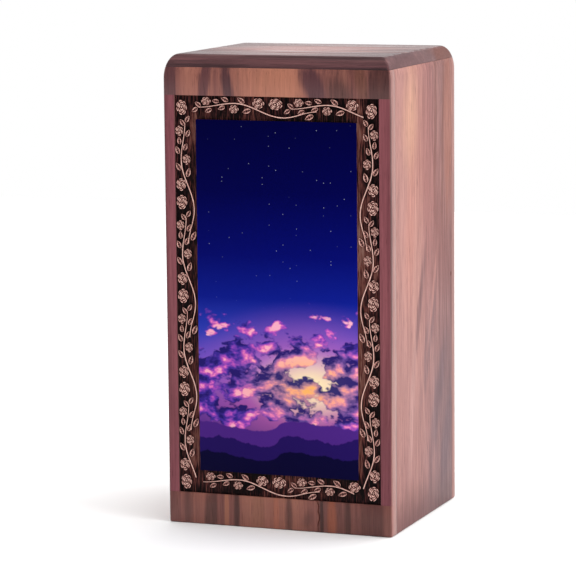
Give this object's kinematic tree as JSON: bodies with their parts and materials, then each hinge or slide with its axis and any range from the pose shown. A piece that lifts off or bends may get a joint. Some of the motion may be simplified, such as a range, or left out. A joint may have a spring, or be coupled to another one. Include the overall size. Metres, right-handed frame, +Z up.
{
  "type": "cremation urn box",
  "caption": "Tall hollow wooden box with a rounded top edge, a front plate carved with a rose vine round a printed dusk sky, and a screwed base, for keeping ashes.",
  "frame": {"origin": "middle of the underside, on the surface that the box stands on", "axes": "+Z up along the height, the carved front faces -Y, +X to the right of someone facing the front"},
  "size_m": [0.14, 0.12, 0.278],
  "materials": {
    "top_wood": "dark rosewood, satin oiled",
    "front_wood": "figured rosewood, satin oiled",
    "plate_wood": "red rosewood, engraved, burnt and printed",
    "side_wood": "straight-grained rosewood, satin oiled",
    "base_wood": "planed rosewood",
    "screw_brass": "dull brass"
  },
  "bodies": {
    "root": {"top_board": "top_wood", "front_board": "front_wood", "engraved_plate": "plate_wood", "back_board": "side_wood", "left_side_board": "side_wood", "right_side_board": "side_wood", "base_board": "base_wood", "base_screw_1": "screw_brass", "base_screw_2": "screw_brass", "base_screw_3": "screw_brass", "base_screw_4": "screw_brass"}
  },
  "joints": []
}
